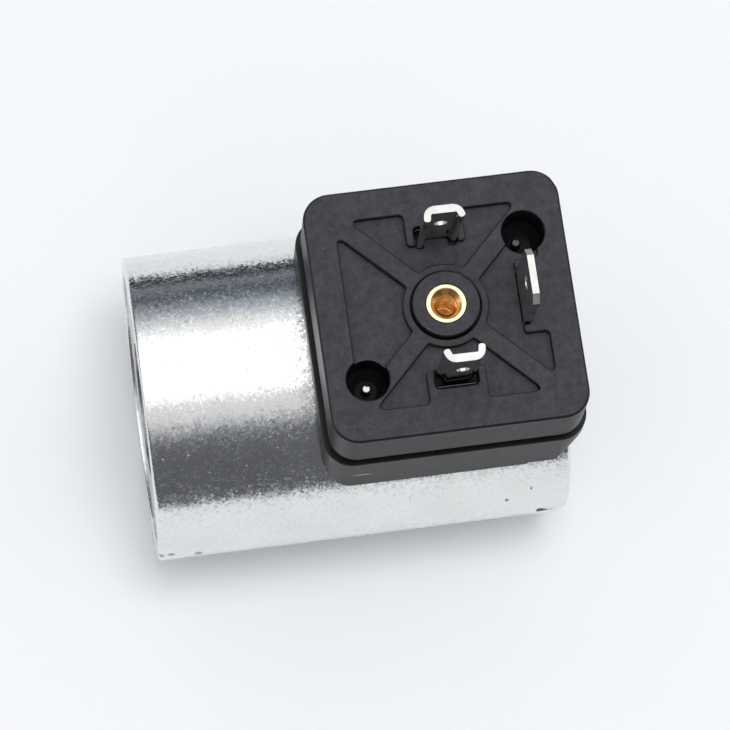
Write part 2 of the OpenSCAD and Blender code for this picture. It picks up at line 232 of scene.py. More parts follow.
world = bpy.data.worlds.new("studio")
world.use_nodes = True
bpy.context.scene.world = world
tree = world.node_tree
path = add_node(tree, "LightPath")
mirrored = add_node(tree, "Math", {0: path.outputs["Is Glossy Ray"], 1: path.outputs["Is Transmission Ray"]},
                    operation="MAXIMUM")
seen = add_node(tree, "Math", {0: path.outputs["Is Camera Ray"], 1: mirrored.outputs[0]},
                operation="MAXIMUM")
sky = blend(tree, seen.outputs[0], FILL, BACKDROP)
tree.links.new(sky, tree.nodes["Background"].inputs["Color"])
bpy.context.scene.view_settings.view_transform = "Standard"
print("world: fill", FILL[0], "backdrop", BACKDROP[0])

# %% Cards that only reflections see
CARD_WIDTH = 6.0
FRONT_TINT = (0.96, 1, 1.11)
BACK_TINT = (0.86, 1, 1.2)
# Heading in degrees, distance in metres, the top's angle from straight up, cast, and glow by height.
CARDS = {
    "front_card": (-90, 0.304, SOFTBOX_FRONT_DEG, FRONT_TINT, {
        0: 0.11, 0.156: 0.13, 0.188: 0.14, 0.235: 0.17, 0.313: 0.5, 0.365: 0.76, 0.42: 0.84, 0.65: 0.8,
        0.85: 0.95, 1: 1.25}),
    "back_card": (90, 0.164, SOFTBOX_BACK_DEG, BACK_TINT, {
        0: 0.03, 0.123: 0.03, 0.175: 0.13, 0.228: 0.31, 0.28: 0.12, 0.342: 0.08, 0.403: 0.15, 0.482: 0.3,
        0.605: 0.46, 0.763: 0.84, 0.877: 1.0, 1: 1.12}),
    "right_card": (0, 1.2, 50, FRONT_TINT, {0: 0.12, 0.6: 0.2, 1: 0.6}),
}


def card_glow(name, cast, levels):
    """A glow from the foot of a card, at 0, to its top, at 1, with a cast of colour where it is dark."""
    material = bpy.data.materials.new(name)
    material.use_nodes = True
    tree = material.node_tree
    height = add_node(tree, "SeparateXYZ", {0: add_node(tree, "TexCoord").outputs["Object"]}).outputs["Y"]
    share = add_node(tree, "Math", {0: height, 1: 0.5}, operation="ADD").outputs[0]
    ramp = add_node(tree, "ValToRGB", {"Fac": share})
    stops = ramp.color_ramp.elements
    while len(stops) < len(levels):
        stops.new(0.5)
    for stop, (place, level) in zip(stops, levels.items()):
        stop.position = place
        stop.color = (*(level * (1 + (tint - 1) * max(0, 1 - level)) for tint in cast), 1)
    glow = add_node(tree, "Emission", {"Color": ramp.outputs["Color"]})
    tree.links.new(glow.outputs[0], tree.nodes["Material Output"].inputs["Surface"])
    return material


for name, (heading_deg, distance, top_deg, cast, levels) in CARDS.items():
    heading = math.radians(heading_deg)
    top = distance / math.tan(math.radians(top_deg))
    bpy.ops.mesh.primitive_plane_add(
        size=1, rotation=(math.pi / 2, 0, heading + math.pi / 2),
        location=(distance * math.cos(heading), distance * math.sin(heading), (cad_low.z + top) / 2))
    dark_card = bpy.context.object
    dark_card.name = name
    dark_card.scale = (CARD_WIDTH, top - cad_low.z, 1)
    dark_card.data.materials.append(card_glow(name, cast, levels))
    dark_card.visible_camera = False
    dark_card.visible_diffuse = False
    dark_card.visible_shadow = False
    print(name, "top at", round(top, 2), "m")

# %% [markdown]
# ## Housing tube
#
# The tube is a length of steel pipe that carries the magnetic flux. On the bench it is sawn off, its rims
# are broken with a file, a slot is milled for the connector, and the right rim is staked to hold the end
# ring. A curve with a round profile would give the pipe too, but a cylinder is nearer to the real work:
# its two end faces are inset by the wall and bridged, which bores it right through, and then the rims are
# bevelled.
#
# Operators act on what is selected. So the helpers open one piece alone in edit mode, and pick faces or
# edges by where they are.

# %% Edit mode helpers
NEAR = 0.001 * MM
SIDES = 96
SMALL_SIDES = 48


def alone(piece):
    """Selects one piece, alone, and makes it the active one."""
    bpy.ops.object.select_all(action="DESELECT")
    piece.select_set(True)
    bpy.context.view_layer.objects.active = piece


def edit(piece):
    """Opens one piece, alone, in edit mode."""
    alone(piece)
    bpy.ops.object.mode_set(mode="EDIT")


def done():
    """Leaves edit mode."""
    bpy.ops.object.mode_set(mode="OBJECT")


def choose_faces(piece, test):
    """Selects the faces whose middle and normal pass a test."""
    bpy.ops.mesh.select_mode(type="FACE")
    bpy.ops.mesh.select_all(action="DESELECT")
    mesh = bmesh.from_edit_mesh(piece.data)
    for face in mesh.faces:
        if test(face.calc_center_median(), face.normal):
            face.select_set(True)
    bmesh.update_edit_mesh(piece.data)


def choose_edges(piece, test, sharper_than=0, convex=False):
    """Selects the edges whose two ends pass a test, and whose faces meet at more than an angle."""
    bpy.ops.mesh.select_mode(type="EDGE")
    bpy.ops.mesh.select_all(action="DESELECT")
    mesh = bmesh.from_edit_mesh(piece.data)
    for edge in mesh.edges:
        sharp = math.degrees(edge.calc_face_angle(0)) >= sharper_than
        if sharp and (edge.is_convex or not convex) and test(edge.verts[0].co, edge.verts[1].co):
            edge.select_set(True)
    bmesh.update_edit_mesh(piece.data)


def upright(a, b):
    """True for an edge that runs along Z."""
    return (a.xy - b.xy).length < NEAR


def level(z):
    """A test for edges that lie at one height."""
    return lambda a, b: abs(a.z - z) < NEAR and abs(b.z - z) < NEAR


def settle(name):
    """Names the new primitive and puts its place, turn and size into its mesh."""
    bpy.ops.object.transform_apply(location=True, rotation=True, scale=True)
    bpy.context.object.name = name
    return bpy.context.object


LYING = {"X": (0, math.pi / 2, 0), "Y": (math.pi / 2, 0, 0), "Z": (0, 0, 0)}


def round_bar(name, radius, length, middle=(0, 0, 0), along="Z", sides=SIDES):
    """A round bar about a point, lying along one axis."""
    bpy.ops.object.select_all(action="DESELECT")
    bpy.ops.mesh.primitive_cylinder_add(vertices=sides, radius=radius, depth=length, location=middle,
                                        rotation=LYING[along])
    return settle(name)


print("edit helpers ready")

# %% Tube blank
TUBE_WALL = 2 * MM
TUBE_SIDES = 192
ENDWAYS = 0.9


def bore(piece, wall):
    """Insets the ends of a bar along X by a wall and bridges them, which bores the bar through."""
    edit(piece)
    choose_faces(piece, lambda middle, normal: abs(normal.x) > ENDWAYS)
    bpy.ops.mesh.inset(thickness=wall)
    bpy.ops.mesh.bridge_edge_loops()
    done()


tube_low, tube_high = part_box("housing_tube")
tube_r = tube_high.y
tube_length = tube_high.x - tube_low.x
tube = round_bar("housing_shell", tube_r, tube_length, along="X", sides=TUBE_SIDES)
bore(tube, TUBE_WALL)
print("tube blank:", len(tube.data.polygons), "faces, diameter", round(2 * tube_r / MM, 2), "mm")

# %% Tube rims
RIM_OUTER = 0.5 * MM
RIM_INNER = 0.25 * MM


def soften(piece, radius, test=lambda a, b: True, segments=4, sharper_than=20, convex=False):
    """Rounds the chosen edges of a piece."""
    edit(piece)
    choose_edges(piece, test, sharper_than, convex)
    bpy.ops.mesh.bevel(offset=radius, segments=segments, affect="EDGES")
    done()
    return piece


def rim(x_size, radius):
    """A test for the edges of a ring around the X axis, at both ends."""
    def test(a, b):
        around = all(abs(abs(p.x) - x_size) < NEAR and abs(p.yz.length - radius) < NEAR for p in (a, b))
        return around and abs(a.x - b.x) < NEAR
    return test


soften(tube, RIM_OUTER, rim(tube_high.x, tube_r))
soften(tube, RIM_INNER, rim(tube_high.x, tube_r - TUBE_WALL), segments=3)
print("rims rounded:", len(tube.data.polygons), "faces")

# %% [markdown]
# The slot and the stakes are cut with shaped tools, as a milling cutter and a punch would do it. A
# Boolean modifier takes each tool out of the pipe, is applied, and the tool goes away. The cutter is a
# box with rounded corners, so the corners that it leaves are rounded as well. The punch is a round bar
# that leaves a dish, and it was held a little askew, so the dish is deeper at its inner end.

# %% Slot and stake marks
SLOT_W = 16 * MM
SLOT_L = 26 * MM
SLOT_CORNER = 1 * MM
STAKE_L = 3.5 * MM
STAKE_R = 1.6 * MM
STAKE_DEPTH = 0.5 * MM
STAKE_SHIFT = 0.6 * MM
STAKE_SOFT = 0.5 * MM
STAKE_TILT_DEG = 10
SPARE = 1 * MM


def box(name, low, high):
    """A box between two corners."""
    low, high = Vector(low), Vector(high)
    bpy.ops.object.select_all(action="DESELECT")
    bpy.ops.mesh.primitive_cube_add(size=1, location=(low + high) / 2, scale=high - low)
    return settle(name)


def apply_modifier(piece, kind, **options):
    """Adds a modifier and applies it at once."""
    modifier = piece.modifiers.new(kind.lower(), kind)
    for name, value in options.items():
        setattr(modifier, name, value)
    bpy.context.view_layer.objects.active = piece
    bpy.ops.object.modifier_apply(modifier=modifier.name)


def carve(piece, tool, operation="DIFFERENCE"):
    """Cuts a tool out of a piece, or joins it on, and takes the tool away."""
    apply_modifier(piece, "BOOLEAN", object=tool, operation=operation, solver="MANIFOLD")
    bpy.data.objects.remove(tool, do_unlink=True)


def lean(piece, angle_deg, axis, pivot, lowest=0):
    """Splits the faces of a piece at a level and tips all above it, about an axis through a point."""
    edit(piece)
    bpy.ops.mesh.select_all(action="SELECT")
    bpy.ops.mesh.bisect(plane_co=(0, 0, lowest), plane_no=(0, 0, 1))
    choose_edges(piece, lambda a, b: min(a.z, b.z) > lowest - NEAR)
    bpy.ops.transform.rotate(value=-math.radians(angle_deg), orient_axis=axis, center_override=pivot)
    done()


slot_x = tube_high.x - SLOT_L
edit(tube)
for ring_x in (slot_x - SPARE, tube_high.x - STAKE_L - 2 * SPARE):
    bpy.ops.mesh.select_all(action="SELECT")
    bpy.ops.mesh.bisect(plane_co=(ring_x, 0, 0), plane_no=(1, 0, 0))
done()
cutter = box("cutter", (slot_x, -SLOT_W / 2, 0), (tube_high.x + 2 * SPARE, SLOT_W / 2, tube_r + SPARE))
carve(tube, soften(cutter, SLOT_CORNER, upright))
for quarter in (1, 2, 3):
    punch_middle = (tube_high.x - STAKE_SHIFT - STAKE_L / 2, 0, tube_r - STAKE_DEPTH + STAKE_R)
    punch = round_bar("punch", STAKE_R, STAKE_L, punch_middle, "X", SMALL_SIDES)
    soften(punch, STAKE_SOFT, sharper_than=60)
    lean(punch, -STAKE_TILT_DEG, "Y", punch_middle)
    punch.rotation_euler.x = quarter * math.pi / 2
    carve(tube, punch)
print("slot and stakes:", len(tube.data.polygons), "faces")

# %% [markdown]
# ### Zinc finish
#
# The tube came out of a plating barrel. Zinc grows in fine crystals, a few tenths of a millimetre across,
# and each one lies at its own slight angle. So the mirror breaks up into specks: where the reflection
# goes from bright to dark, some crystals still show the bright side and others already the dark one. Flat
# grey would look like paint. Here a Voronoi texture gives each crystal a random colour, and that colour,
# taken as a direction, tips the normal. Cubing it first leaves most crystals nearly level and tips a few
# of them a lot. In the barrel the tubes knock against each other. A few dented spots near the front are
# painted as small dark ovals of painted shade, with no change of shape.

# %% Zinc
ZINC_DARK = (0.745, 0.75, 0.742)
ZINC_LIGHT = (0.815, 0.82, 0.812)
# Painted shade of dented spots: a dark grey base colour in small ovals, with no dent in the shape.
DENT_PAINTED_SHADE = (0.2, 0.2, 0.205, 1)
DENTS_PAINTED_SHADE_MM = {
    (-24.6, -18.45, 0.4): (0.5, 0.4, 1.0),
    (-23.4, -18.45, 0.6): (0.6, 0.4, 0.8),
    (-20.1, -18.45, -0.5): (0.6, 0.4, 1.2),
    (17.2, -17.9, 4.6): (0.3, 0.3, 0.5),
    (20.1, -17.3, 6.6): (0.15, 0.3, 0.5),
}
ZINC_CLOUD = 6
ZINC_ROUGH = (0.13, 0.36)
CRYSTAL_COARSE = 0.36
CRYSTAL_FINE = 0.2
CRYSTAL_TIP = 0.36
PIT_CELL = 1.3
PIT_SIZE = 0.1
PIT_DEPTH = 0.03


def bump(tree, height, depth, normal=None):
    """Turns a height from 0 to 1 into tilted normals, over a depth in millimetres."""
    settings = {"Height": height, "Distance": depth * MM, "Strength": 1.0}
    if normal is not None:
        settings["Normal"] = normal
    return add_node(tree, "Bump", settings).outputs["Normal"]


def dots(tree, coordinates, cell, size):
    """A mask of round dots: 1 in a dot and 0 outside. Cell and size are in millimetres."""
    cells = add_node(tree, "TexVoronoi", {"Vector": coordinates, "Scale": 1 / (cell * MM)})
    return spread(tree, cells.outputs["Distance"], 1.0, 0.0, 0.6 * size / cell, size / cell)


def times(tree, first, second):
    """The product of two masks."""
    return add_node(tree, "Math", {0: first, 1: second}, operation="MULTIPLY").outputs[0]


def marks(tree, coordinates, places):
    """A mask that is 1 in a few small ovals, given by their middles and half sizes in millimetres."""
    mask = 0.0
    for middle, half in places.items():
        away = add_node(tree, "VectorMath", {0: coordinates, 1: Vector(middle) * MM}, operation="SUBTRACT")
        share = add_node(tree, "VectorMath", {0: away.outputs[0], 1: Vector(half) * MM}, operation="DIVIDE")
        reach = add_node(tree, "VectorMath", {0: share.outputs[0]}, operation="LENGTH").outputs["Value"]
        spot = spread(tree, reach, 1.0, 0.0, 0.5, 1.0)
        mask = add_node(tree, "Math", {0: mask, 1: spot}, operation="MAXIMUM").outputs[0]
    return mask


def crystals(tree, coordinates, cell):
    """A random colour for each crystal. The cell is in millimetres."""
    return add_node(tree, "TexVoronoi", {"Vector": coordinates, "Scale": 1 / (cell * MM)}).outputs["Color"]


def tip_by(tree, normal, colour, tip):
    """Tips a normal in each crystal, in the direction that its colour gives."""
    way = add_node(tree, "VectorMath", {0: colour, 1: (0.5, 0.5, 0.5)}, operation="SUBTRACT")
    square = add_node(tree, "VectorMath", {0: way.outputs[0], 1: way.outputs[0]}, operation="MULTIPLY")
    cube = add_node(tree, "VectorMath", {0: square.outputs[0], 1: way.outputs[0]}, operation="MULTIPLY")
    push = add_node(tree, "VectorMath", {0: cube.outputs[0], "Scale": tip}, operation="SCALE")
    tipped = add_node(tree, "VectorMath", {0: normal, 1: push.outputs[0]}, operation="ADD")
    return add_node(tree, "VectorMath", {0: tipped.outputs[0]}, operation="NORMALIZE").outputs[0]


def zinc_finish():
    """Barrel plated zinc: a mirror that is broken up by crystals and pits."""
    material, tree, shader, coordinates = new_finish("zinc")
    cloud = noise(tree, coordinates, ZINC_CLOUD, detail=4)
    plating = shades(tree, cloud, ZINC_DARK, ZINC_LIGHT)
    # Painted shade: a few dented spots are painted dark on the plating, with no change of shape.
    painted_dent_shade = marks(tree, coordinates, DENTS_PAINTED_SHADE_MM)
    tree.links.new(blend(tree, painted_dent_shade, plating, DENT_PAINTED_SHADE), shader.inputs["Base Color"])
    shader.inputs["Metallic"].default_value = 1.0
    coarse, fine = crystals(tree, coordinates, CRYSTAL_COARSE), crystals(tree, coordinates, CRYSTAL_FINE)
    matt = add_node(tree, "SeparateColor", {0: coarse}).outputs["Red"]
    matt_fine = add_node(tree, "SeparateColor", {0: fine}).outputs["Red"]
    rough = spread(tree, times(tree, matt, matt_fine), *ZINC_ROUGH, start=0.05, end=0.8)
    tree.links.new(rough, shader.inputs["Roughness"])
    tip = spread(tree, cloud, 0.6 * CRYSTAL_TIP, CRYSTAL_TIP)
    normal = tip_by(tree, add_node(tree, "NewGeometry").outputs["Normal"], coarse, tip)
    normal = tip_by(tree, normal, fine, tip)
    pits = dots(tree, coordinates, PIT_CELL, PIT_SIZE)
    height = add_node(tree, "Math", {0: 1.0, 1: pits}, operation="SUBTRACT").outputs[0]
    tree.links.new(bump(tree, height, PIT_DEPTH, normal), shader.inputs["Normal"])
    return material


zinc = zinc_finish()
print("zinc:", len(zinc.node_tree.nodes), "nodes")

# %% [markdown]
# A finished piece is shaded smooth except at sharp edges. Weighted normals then keep large faces flat
# beside their small bevels, which smooth shading alone would bend. Last, the piece is tied to the body it
# rides on, and the plain solid that it stands for is hidden.

# %% Finish the tube
SHARP_DEG = 35
LARGE_FACES_ONLY = 100


def hand_over(piece, node, slot, *materials):
    """Shades a piece, gives it its finish, and ties it to the frame."""
    alone(piece)
    bpy.ops.object.shade_smooth_by_angle(angle=math.radians(SHARP_DEG))
    apply_modifier(piece, "WEIGHTED_NORMAL", keep_sharp=True, weight=LARGE_FACES_ONLY)
    piece.data.materials.clear()
    for material in materials:
        piece.data.materials.append(material)
    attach(piece, "root")
    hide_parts(node)
    triangles = sum(len(face.vertices) - 2 for face in piece.data.polygons)
    print(piece.name, "stands for", node, "with", triangles, "triangles")


hand_over(tube, "housing_tube", "zinc_plated_steel", zinc)

# %% [markdown]
# ## Pole rings
#
# A thick steel ring closes each end of the tube and leads the flux to the armature. It is turned on a
# lathe, so its face shows fine circles around the bore. One ring is modelled as the tube was, inset and
# bridged, and the other is a copy turned half way round. The circles are a wave that runs outwards from
# the axis.

# %% Two pole rings
BORE_R = 8.1 * MM
BORE_CHAMFER = 0.6 * MM
RING_EDGE = 0.25 * MM

ring_low, ring_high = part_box("left_pole_ring")
ring_middle = (ring_low + ring_high) / 2
left_ring = round_bar("left_end_ring", ring_high.y, ring_high.x - ring_low.x, ring_middle, "X", TUBE_SIDES)
bore(left_ring, ring_high.y - BORE_R)
soften(left_ring, BORE_CHAMFER, rim(-ring_low.x, BORE_R), segments=1)
soften(left_ring, RING_EDGE, rim(-ring_low.x, ring_high.y), segments=3)


def copy_turned(piece, name, pivot_x):
    """A copy with its own mesh, turned half way round an upright axis."""
    alone(piece)
    bpy.ops.object.duplicate(linked=False)
    bpy.context.object.rotation_euler.z = math.pi
    bpy.context.object.location.x = 2 * pivot_x
    return settle(name)


right_ring = copy_turned(left_ring, "right_end_ring", 0)
print("rings:", len(left_ring.data.polygons), "faces each")

# %% Turned steel
STEEL_GREY = ((0.5, 0.5, 0.51), (0.64, 0.64, 0.65))
STEEL_CLOUD = 3
STEEL_GRAIN = 0.6
STEEL_ROUGH = (0.24, 0.36)
TOOL_PITCH = 1.6
TOOL_WOBBLE = 0.4
TOOL_DEPTH = 0.006


def turned_steel_finish():
    """Lathe turned steel under a thin zinc coat."""
    material, tree, shader, coordinates = new_finish("turned_steel")
    cloud = noise(tree, coordinates, STEEL_CLOUD)
    tree.links.new(shades(tree, cloud, *STEEL_GREY), shader.inputs["Base Color"])
    shader.inputs["Metallic"].default_value = 1.0
    rough = spread(tree, noise(tree, coordinates, STEEL_GRAIN), *STEEL_ROUGH)
    tree.links.new(rough, shader.inputs["Roughness"])
    settings = {"Vector": coordinates, "Scale": 1 / (TOOL_PITCH * MM), "Distortion": TOOL_WOBBLE}
    circles = add_node(tree, "TexWave", settings, wave_type="RINGS", rings_direction="X")
    tree.links.new(bump(tree, circles.outputs["Fac"], TOOL_DEPTH), shader.inputs["Normal"])
    return material


turned_steel = turned_steel_finish()
hand_over(left_ring, "left_pole_ring", "pole_steel", turned_steel)
hand_over(right_ring, "right_pole_ring", "pole_steel", turned_steel)

# %% [markdown]
# ## Connector base
#
# The lower black moulding sits on the tube like a saddle, and a neck under it fills the tube's slot. A
# box with rounded corners is cut with a cylinder the size of the tube, and the neck is a second box that
# is cut with the tube's bore and joined on. The mould's parting line left a small step on the front wall,
# near the right end, and the corner beside it is trimmed at a slant.

# %% Saddle and neck
BASE_CORNER = 3.4 * MM
BASE_EDGE = 0.15 * MM
BASE_FLARE = Vector((0.35, 0, 0)) * MM
SEAT = 0.05 * MM

base_low, base_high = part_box("connector_base")
plate_low, plate_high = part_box("terminal_plate")
middle_x = (plate_low.x + plate_high.x) / 2


def tube_tool(radius):
    """A long bar around the bore axis."""
    return round_bar("tube_tool", radius, 4 * tube_length, along="X", sides=TUBE_SIDES)


base = box("connector_saddle", base_low - BASE_FLARE - Vector((0, 0, SPARE)), base_high + BASE_FLARE)
soften(base, BASE_CORNER, upright, segments=12)
soften(base, BASE_EDGE, level(base_high.z), segments=3)
carve(base, tube_tool(tube_r + SEAT))
neck = box("neck", (slot_x + SEAT, -SLOT_W / 2 + SEAT, base_low.z),
           (tube_high.x, SLOT_W / 2 - SEAT, base_high.z - BASE_EDGE))
soften(neck, SLOT_CORNER, lambda a, b: upright(a, b) and a.x < middle_x)
carve(neck, tube_tool(tube_r - TUBE_WALL))
carve(base, neck, "UNION")
print("saddle and neck:", len(base.data.polygons), "faces")

# %% Passages and the parting step
PARTING_X = 19.6 * MM
PARTING_TOP = 13.8 * MM
PARTING_STEP = 0.13 * MM
TRIM_TOP = 18 * MM
TRIM_DEG = 8
LEAD_HOLE_R = 0.85 * MM
LEAD_HOLE_SIDES = 32
STRAP_ROOM = 0.05 * MM

for lead in ("lead_1", "lead_2"):
    lead_low, lead_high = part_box("lead_sleeve" + lead[4:])
    sleeve_middle = (lead_low + lead_high) / 2
    drill = round_bar("drill", LEAD_HOLE_R + SEAT, 4 * base_high.z, sleeve_middle, sides=LEAD_HOLE_SIDES)
    carve(base, drill)
strap_low, strap_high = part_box("earth_strap")
carve(base, box("strap_way", (strap_low.x - STRAP_ROOM, strap_low.y - STRAP_ROOM, 0),
                (strap_high.x + STRAP_ROOM, strap_high.y + STRAP_ROOM, plate_high.z)))
wedge = box("wedge", (PARTING_X, base_low.y - SPARE, base_low.z - SPARE),
            (base_high.x + SPARE, base_low.y, PARTING_TOP))
edit(wedge)
choose_edges(wedge, lambda a, b: max(a.z, b.z) < base_low.z and min(a.y, b.y) > base_low.y - NEAR)
bpy.ops.transform.translate(value=(0, PARTING_STEP, 0))
done()
carve(base, wedge)
trim = box("trim", (0, -2 * BASE_CORNER, -4 * BASE_CORNER), (2 * BASE_CORNER, 2 * BASE_CORNER, 0))
trim.rotation_euler = (0, math.radians(TRIM_DEG), -math.pi / 4)
corner_reach = BASE_CORNER * (1 - math.sqrt(0.5))
trim.location = (base_high.x + BASE_FLARE.x - corner_reach, base_low.y + corner_reach, TRIM_TOP)
carve(base, trim)
print("base:", len(base.data.polygons), "faces")

# %% [markdown]
# ### Black moulding finish
#
# The mouldings are glass filled nylon, from a mould whose steel was spark eroded. That leaves a fine,
# even pebble, which spreads the softbox's reflection into a soft grey, so the plastic looks charcoal and
# not black. The outer walls are plainer, and the two side walls slid out of polished steel, so they are
# smoother. The corner holes are smooth too. All are the same plastic, so one function makes them, with
# its own roughness, gloss and depth of pebble, and its own colour: the plate's walls are painted darker
# as painted shade, the base's walls lighter as painted light, and the walls of the pockets and slots,
# the rounded edges, the ledge under the plate and the holes are painted near black as painted shade.
# Faces then pick their finish by where they are.

# %% Black moulding
# The first pair is the glossy bead's own black, and also the colour of painted shade on edges and in
# recesses.
BEAD_BLACK_AND_PAINTED_SHADE = ((0.006, 0.006, 0.007), (0.012, 0.012, 0.014))
NYLON_GREY = ((0.025, 0.0245, 0.0285), (0.058, 0.057, 0.065))
NYLON_WALL_PAINTED_SHADE = ((0.023, 0.023, 0.025), (0.029, 0.029, 0.032))
NYLON_BASE_PAINTED_LIGHT = ((0.039, 0.039, 0.041), (0.047, 0.047, 0.05))
DUST_GREY = (0.2, 0.2, 0.21, 1)
SCRATCH_MM = {(-0.5, -15.2, 15.6): (1.4, 0.3, 0.3)}
SCRATCH_GREY = (0.3, 0.3, 0.31, 1)
NYLON_CLOUD = 1.1
NYLON_GRAIN = 0.7
DUST_CELL = 3.1
PEBBLE = 0.18


def nylon_finish(name, colours, rough, pebble_depth, dust_size, gloss, side_gain=0.0, scratches=None):
    """Black moulded nylon with a pebble in millimetres and a little dust, smoother on walls that face X."""
    material, tree, shader, coordinates = new_finish(name)
    shade = shades(tree, noise(tree, coordinates, NYLON_CLOUD, detail=5, roughness=0.8), *colours)
    dust = dots(tree, coordinates, DUST_CELL, dust_size)
    shade = blend(tree, dust, shade, DUST_GREY)
    if scratches:
        worn = marks(tree, coordinates, scratches)
        shade = blend(tree, worn, shade, SCRATCH_GREY)
    tree.links.new(shade, shader.inputs["Base Color"])
    matt = spread(tree, noise(tree, coordinates, NYLON_GRAIN, detail=3), *rough)
    if side_gain:
        normal = add_node(tree, "NewGeometry").outputs["Normal"]
        facing = add_node(tree, "SeparateXYZ", {0: normal}).outputs["X"]
        facing = add_node(tree, "Math", {0: facing}, operation="ABSOLUTE").outputs[0]
        matt = times(tree, matt, spread(tree, facing, 1.0, 1.0 - side_gain, start=0.3, end=0.95))
    tree.links.new(matt, shader.inputs["Roughness"])
    pebble = noise(tree, coordinates, PEBBLE, detail=3, roughness=0.6)
    tree.links.new(bump(tree, pebble, pebble_depth), shader.inputs["Normal"])
    shader.inputs["Specular IOR Level"].default_value = gloss
    return material


moulding = nylon_finish("black_moulding", NYLON_GREY, (0.52, 0.66), 0.025, 0.09, gloss=0.24)
# Painted shade: the plate's walls are the face's nylon, painted darker.
smooth_wall_painted_shade = nylon_finish("smooth_wall_painted_shade", NYLON_WALL_PAINTED_SHADE, (0.54, 0.6), 0.005, 0.03, gloss=0.28, side_gain=0.3)
# Painted light: the base's walls are the same nylon, painted lighter where the bright tube below lights
# them. The scratch is real wear.
base_wall_painted_light = nylon_finish("base_wall_painted_light", NYLON_BASE_PAINTED_LIGHT, (0.54, 0.6), 0.005, 0.03, gloss=0.28, side_gain=0.3,
                         scratches=SCRATCH_MM)
# Painted shade: near black for the walls of recesses, the rounded edges and the ledge under the plate.
edge_painted_shade = nylon_finish("edge_painted_shade", BEAD_BLACK_AND_PAINTED_SHADE, (0.26, 0.36), 0.006, 0.01, gloss=0.25)
# Painted shade: near black, with hardly any gloss, for the corner holes and the slot floor at the blades'
# feet.
recess_painted_shade = nylon_finish("recess_painted_shade", BEAD_BLACK_AND_PAINTED_SHADE, (0.1, 0.16), 0.002, 0.01, gloss=0.05)
glossy_bead = nylon_finish("glossy_bead", BEAD_BLACK_AND_PAINTED_SHADE, (0.08, 0.14), 0.002, 0.01, gloss=0.8)
print("nylon finishes ready")

# %% Walls of the base with painted light, and its ledge with painted shade
PAINTED_WALL_LIGHT_AND_SHADE, EDGE = 1, 2

hand_over(base, "connector_base", "black_moulding", moulding, base_wall_painted_light, edge_painted_shade)
# Painted shade: the ledge under the plate is painted near black. Painted light: the base's other walls are
# painted lighter.
for face in base.data.polygons:
    face.material_index = EDGE if face.center.z > base_high.z - BASE_EDGE else PAINTED_WALL_LIGHT_AND_SHADE
print("ledge faces:", sum(face.material_index == EDGE for face in base.data.polygons))

# %% [markdown]
# ## Terminal plate
#
# The upper moulding carries the plug face. It is a square tray turned upside down: a rounded box whose
# bottom face is inset and pushed up to make the hollow for the wiring. The boss for the screw and the
# walls around the two blind holes are bars that are joined on. At the far right corner the gate, where
# the plastic ran in, was trimmed off with a knife, which left a narrow flat.

# %% Plate blank
PLATE_CORNER = 3.2 * MM
PLATE_EDGE = 0.4 * MM
PLATE_FOOT = 0.3 * MM
PLATE_WALL = 2.2 * MM
HOLLOW_H = 4.6 * MM
BOSS_R = 3.95 * MM
BOSS_RISE = 0.7 * MM
BOSS_EDGE = 0.15 * MM
GATE_DEG = 25
GATE_DEPTH = 0.12 * MM
FLAT = 0.999

face_z = plate_high.z - BOSS_RISE
plate = box("plug_plate", plate_low, (plate_high.x, plate_high.y, face_z))
soften(plate, PLATE_CORNER, upright, segments=12)
soften(plate, PLATE_EDGE, level(face_z), sharper_than=60)
soften(plate, PLATE_FOOT, level(plate_low.z), segments=3, sharper_than=60)
edit(plate)
choose_faces(plate, lambda middle, normal: normal.z < -FLAT)
bpy.ops.mesh.inset(thickness=PLATE_WALL - PLATE_FOOT)
bpy.ops.mesh.extrude_region_move(TRANSFORM_OT_translate={"value": (0, 0, HOLLOW_H)})
done()
gate = box("gate", (PLATE_CORNER - GATE_DEPTH, -PLATE_CORNER, 0),
           (2 * PLATE_CORNER, PLATE_CORNER, 2 * face_z))
gate.location = (plate_high.x - PLATE_CORNER, plate_high.y - PLATE_CORNER, 0)
gate.rotation_euler.z = math.radians(GATE_DEG)
carve(plate, gate)
print("plate blank:", len(plate.data.polygons), "faces")

# %% Boss and the walls of the blind holes
MOAT_W = 0.12 * MM
MOAT_DEPTH = 0.9 * MM
HOLE_R = 2.5 * MM
HOLE_WALL = 0.9 * MM
HOLE_DEPTH = 5.5 * MM
HOLE_X = 10.15 * MM
HOLE_Y = 7.65 * MM

carve(plate, round_bar("moat", BOSS_R + MOAT_W, 2 * MOAT_DEPTH, (middle_x, 0, face_z)))
boss = round_bar("boss", BOSS_R, plate_high.z - plate_low.z,
                 (middle_x, 0, (plate_low.z + plate_high.z) / 2))
soften(boss, BOSS_EDGE, level(plate_high.z), segments=3)
carve(plate, boss, "UNION")
hole_places = [Vector((middle_x + side * HOLE_X, side * HOLE_Y, face_z)) for side in (-1, 1)]
for place in hole_places:
    wall_height = HOLE_DEPTH + HOLE_WALL - 2 * SPARE
    wall_middle = place - Vector((0, 0, 2 * SPARE + wall_height / 2))
    carve(plate, round_bar("hole_wall", HOLE_R + HOLE_WALL, wall_height, wall_middle), "UNION")
print("boss and hole walls:", len(plate.data.polygons), "faces")

# %% [markdown]
# ### Pockets, slots and holes of the plug face
#
# The face has four shallow pockets, left between diagonal ribs, a ring around the boss and pads around
# the blades. One cutter makes them all. It starts as a square block, ribs, ring and pads are taken out of
# it, and its upright corners are rounded as a milling tool would leave them. What stays is the shape of
# the pockets. Once everything is cut, the edges around the face are broken a little, or they would look
# razor sharp. The bevels can push a face's outline across the seams that the Booleans left in it, so the
# level face is then taken off and filled anew from its outline. In each blind hole stands the end of a
# pin that held the wiring in the mould, one bare and one coated with plastic.

